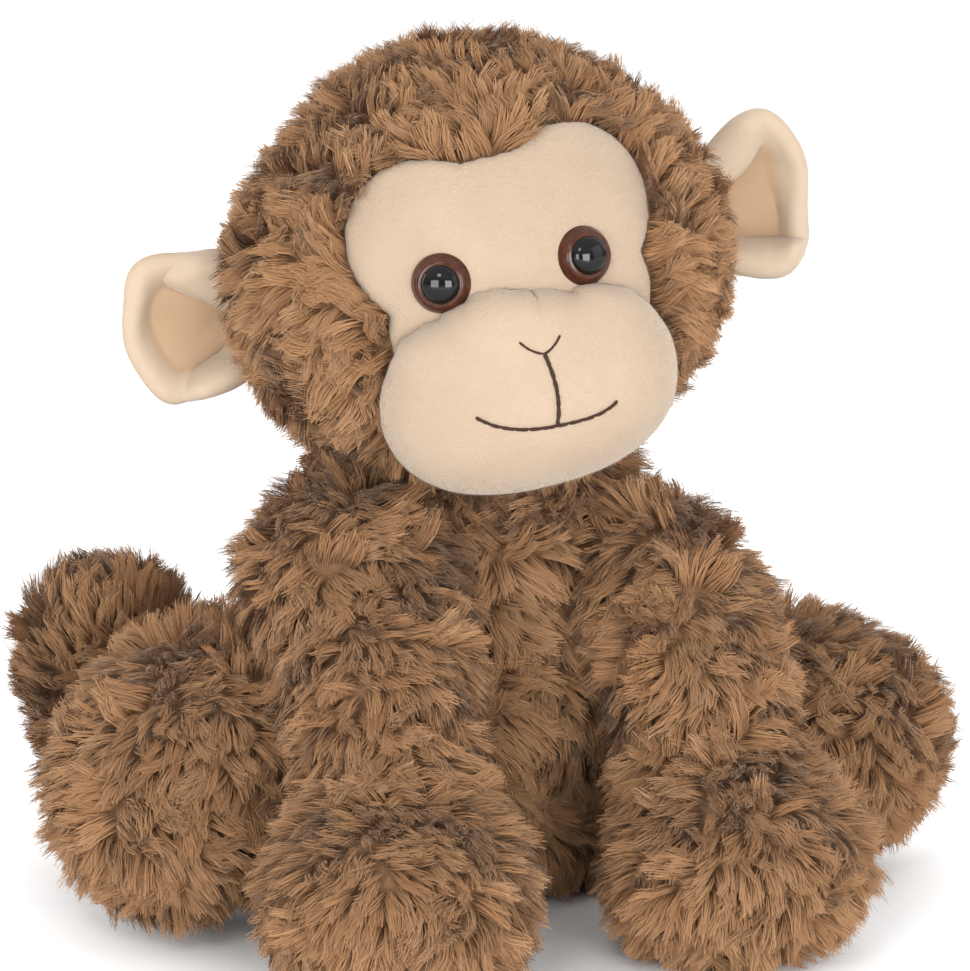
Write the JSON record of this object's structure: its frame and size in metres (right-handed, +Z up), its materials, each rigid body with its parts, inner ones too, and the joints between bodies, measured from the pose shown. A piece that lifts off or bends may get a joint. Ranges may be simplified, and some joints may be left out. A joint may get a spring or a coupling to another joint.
{
  "type": "stuffed monkey",
  "caption": "Plush monkey sitting upright with paws on the floor, legs splayed and a thick curled tail; tilted head, cream face and cupped ears.",
  "frame": {"origin": "middle of the torso's flat seat, on the surface that the toy sits on", "axes": "+Z up; the torso faces -Y; +X is the toy's own left side"},
  "size_m": [0.2466, 0.196, 0.232],
  "materials": {
    "brown_plush": "long tousled pile, light tips",
    "cream_velour": "short nap, matt",
    "fibre_fill": "white polyester fibre",
    "bag_cloth": "plain woven cotton",
    "pellets": "loose plastic pellets",
    "eye_brown": "high gloss",
    "eye_black": "high gloss",
    "washer_plastic": "satin",
    "dark_thread": "embroidery thread"
  },
  "bodies": {
    "torso": {"torso_skin": "brown_plush", "torso_filling": "fibre_fill", "pellet_bag": "bag_cloth", "seat_pellets": "pellets"},
    "neck": {"neck_filling": "fibre_fill"},
    "head": {"head_skin": "brown_plush", "head_filling": "fibre_fill", "brow_patch": "cream_velour", "muzzle_skin": "cream_velour", "muzzle_filling": "fibre_fill", "right_eye_iris": "eye_brown", "right_eye_pupil": "eye_black", "right_eye_washer": "washer_plastic", "left_eye_iris": "eye_brown", "left_eye_pupil": "eye_black", "left_eye_washer": "washer_plastic", "nose_stitch": "dark_thread", "mouth_stitch": "dark_thread"},
    "right_ear": {"right_ear_front": "cream_velour", "right_ear_back": "cream_velour"},
    "left_ear": {"left_ear_front": "cream_velour", "left_ear_back": "cream_velour"},
    "right_arm": {"right_arm_skin": "brown_plush", "right_arm_filling": "fibre_fill"},
    "left_arm": {"left_arm_skin": "brown_plush", "left_arm_filling": "fibre_fill"},
    "right_leg": {"right_leg_skin": "brown_plush", "right_leg_filling": "fibre_fill"},
    "left_leg": {"left_leg_skin": "brown_plush", "left_leg_filling": "fibre_fill"},
    "tail": {"tail_skin": "brown_plush", "tail_filling": "fibre_fill"}
  },
  "joints": [
    {"name": "neck_turn", "type": "hinge", "parent": "torso", "child": "neck", "pos_m": [-0.007, -0.016, 0.175], "axis": [-0.2143, 0.0301, 0.9763], "range_deg": [-30, 35]},
    {"name": "neck_nod", "type": "hinge", "parent": "neck", "child": "head", "pos_m": [-0.007, -0.016, 0.175], "axis": [0.9668, -0.1359, 0.2164], "range_deg": [-10, 6]},
    {"name": "right_ear_fold", "type": "hinge", "parent": "head", "child": "right_ear", "pos_m": [-0.05947, 0.00955, 0.16167], "axis": [-0.2143, 0.0301, 0.9763], "range_deg": [-15, 15], "stiffness_Nm_per_rad": 0.004},
    {"name": "left_ear_fold", "type": "hinge", "parent": "head", "child": "left_ear", "pos_m": [0.05091, -0.00596, 0.18638], "axis": [-0.2143, 0.0301, 0.9763], "range_deg": [-15, 15], "stiffness_Nm_per_rad": 0.004},
    {"name": "right_shoulder", "type": "hinge", "parent": "torso", "child": "right_arm", "pos_m": [-0.042, -0.034, 0.093], "axis": [-1, 0, 0], "range_deg": [0, 50]},
    {"name": "left_shoulder", "type": "hinge", "parent": "torso", "child": "left_arm", "pos_m": [0.036, -0.034, 0.093], "axis": [-1, 0, 0], "range_deg": [0, 50]},
    {"name": "right_hip", "type": "hinge", "parent": "torso", "child": "right_leg", "pos_m": [-0.06, 0, 0.039], "axis": [0, 1, 0], "range_deg": [0, 18]},
    {"name": "left_hip", "type": "hinge", "parent": "torso", "child": "left_leg", "pos_m": [0.07, 0, 0.039], "axis": [0, -1, 0], "range_deg": [0, 18]},
    {"name": "tail_base", "type": "hinge", "parent": "torso", "child": "tail", "pos_m": [0, 0.061, 0.024], "axis": [0, 0, 1], "range_deg": [-45, 0]}
  ]
}
